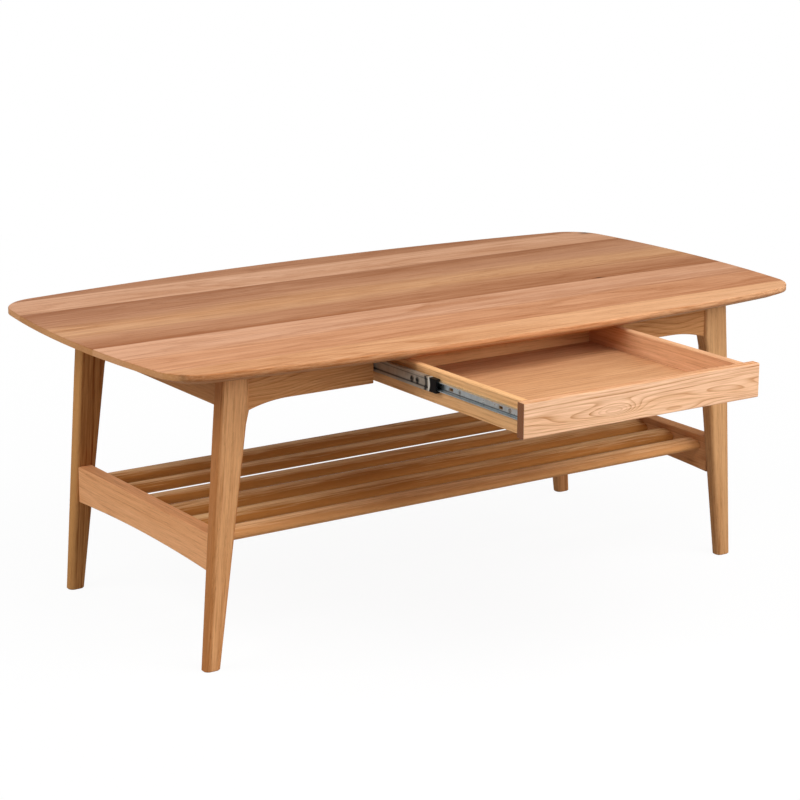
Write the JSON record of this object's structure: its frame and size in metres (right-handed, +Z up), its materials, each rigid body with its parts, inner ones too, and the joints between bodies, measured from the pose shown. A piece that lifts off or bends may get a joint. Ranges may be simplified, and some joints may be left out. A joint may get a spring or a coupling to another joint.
{
  "type": "coffee table with drawer",
  "caption": "Low oak coffee table with a boat-shaped top, splayed tapered legs, a slatted magazine shelf and a drawer that runs on ball-bearing slides.",
  "frame": {"origin": "on the floor, in the middle of the rectangle of the four feet, under the middle of the top", "axes": "+Z up, +X along the long side of the table to the right as seen from the drawer's side, -Y the way the drawer opens"},
  "size_m": [1.1598, 0.8907, 0.45],
  "materials": {
    "oak_top": "satin oiled oak boards",
    "oak_frame": "satin oiled oak",
    "oak_slat": "satin oiled oak",
    "oak_drawer_front": "satin oiled oak, pale",
    "oak_drawer_box": "satin lacquered oak",
    "oak_veneer": "satin oak veneer",
    "pine_rail": "plain sawn wood",
    "beech": "plain turned wood",
    "zinc_steel": "zinc-plated sheet",
    "cage_steel": "pressed sheet",
    "ball_steel": "polished",
    "zinc_screw": "zinc-plated",
    "black_plastic": "moulded"
  },
  "bodies": {
    "table": {"table_top": "oak_top", "front_left_leg": "oak_frame", "front_right_leg": "oak_frame", "rear_left_leg": "oak_frame", "rear_right_leg": "oak_frame", "front_left_apron": "oak_frame", "front_right_apron": "oak_frame", "rear_apron": "oak_frame", "left_end_apron": "oak_frame", "right_end_apron": "oak_frame", "left_stretcher": "oak_frame", "right_stretcher": "oak_frame", "shelf_slat_1": "oak_slat", "shelf_slat_2": "oak_slat", "shelf_slat_3": "oak_slat", "shelf_slat_4": "oak_slat", "shelf_slat_5": "oak_slat", "shelf_slat_6": "oak_slat", "left_drawer_rail": "pine_rail", "right_drawer_rail": "pine_rail", "left_slide_outer": "zinc_steel", "right_slide_outer": "zinc_steel", "slide_rail_screws": "zinc_screw", "top_brackets": "zinc_steel", "top_bracket_screws": "zinc_screw"},
    "drawer": {"drawer_front": "oak_drawer_front", "drawer_left_side": "oak_drawer_box", "drawer_right_side": "oak_drawer_box", "drawer_back": "oak_drawer_box", "drawer_bottom": "oak_veneer", "drawer_dowels": "beech", "slide_drawer_screws": "zinc_screw", "left_slide_inner": "zinc_steel", "left_slide_lever": "black_plastic", "right_slide_inner": "zinc_steel", "right_slide_lever": "black_plastic"},
    "left_middle": {"left_slide_middle": "zinc_steel", "left_slide_end_cap": "black_plastic"},
    "left_outer_cage": {"left_slide_outer_cage": "cage_steel", "left_slide_outer_balls": "ball_steel"},
    "left_inner_cage": {"left_slide_inner_cage": "cage_steel", "left_slide_inner_balls": "ball_steel"},
    "right_middle": {"right_slide_middle": "zinc_steel", "right_slide_end_cap": "black_plastic"},
    "right_outer_cage": {"right_slide_outer_cage": "cage_steel", "right_slide_outer_balls": "ball_steel"},
    "right_inner_cage": {"right_slide_inner_cage": "cage_steel", "right_slide_inner_balls": "ball_steel"}
  },
  "joints": [
    {"name": "drawer_slide", "type": "slide", "parent": "table", "child": "drawer", "axis": [0, -1, 0], "range_m": [-0.354, 0]},
    {"name": "left_middle_slide", "type": "slide", "parent": "table", "child": "left_middle", "axis": [0, -1, 0], "range_m": [-0.177, 0]},
    {"name": "left_outer_cage_slide", "type": "slide", "parent": "table", "child": "left_outer_cage", "axis": [0, -1, 0], "range_m": [-0.0885, 0]},
    {"name": "left_inner_cage_slide", "type": "slide", "parent": "table", "child": "left_inner_cage", "axis": [0, -1, 0], "range_m": [-0.2655, 0]},
    {"name": "right_middle_slide", "type": "slide", "parent": "table", "child": "right_middle", "axis": [0, -1, 0], "range_m": [-0.177, 0]},
    {"name": "right_outer_cage_slide", "type": "slide", "parent": "table", "child": "right_outer_cage", "axis": [0, -1, 0], "range_m": [-0.0885, 0]},
    {"name": "right_inner_cage_slide", "type": "slide", "parent": "table", "child": "right_inner_cage", "axis": [0, -1, 0], "range_m": [-0.2655, 0]}
  ],
  "couplings": [
    {"joint": "left_middle_slide", "follows": "drawer_slide", "ratio": 0.5},
    {"joint": "left_outer_cage_slide", "follows": "drawer_slide", "ratio": 0.25},
    {"joint": "left_inner_cage_slide", "follows": "drawer_slide", "ratio": 0.75},
    {"joint": "right_middle_slide", "follows": "drawer_slide", "ratio": 0.5},
    {"joint": "right_outer_cage_slide", "follows": "drawer_slide", "ratio": 0.25},
    {"joint": "right_inner_cage_slide", "follows": "drawer_slide", "ratio": 0.75}
  ]
}
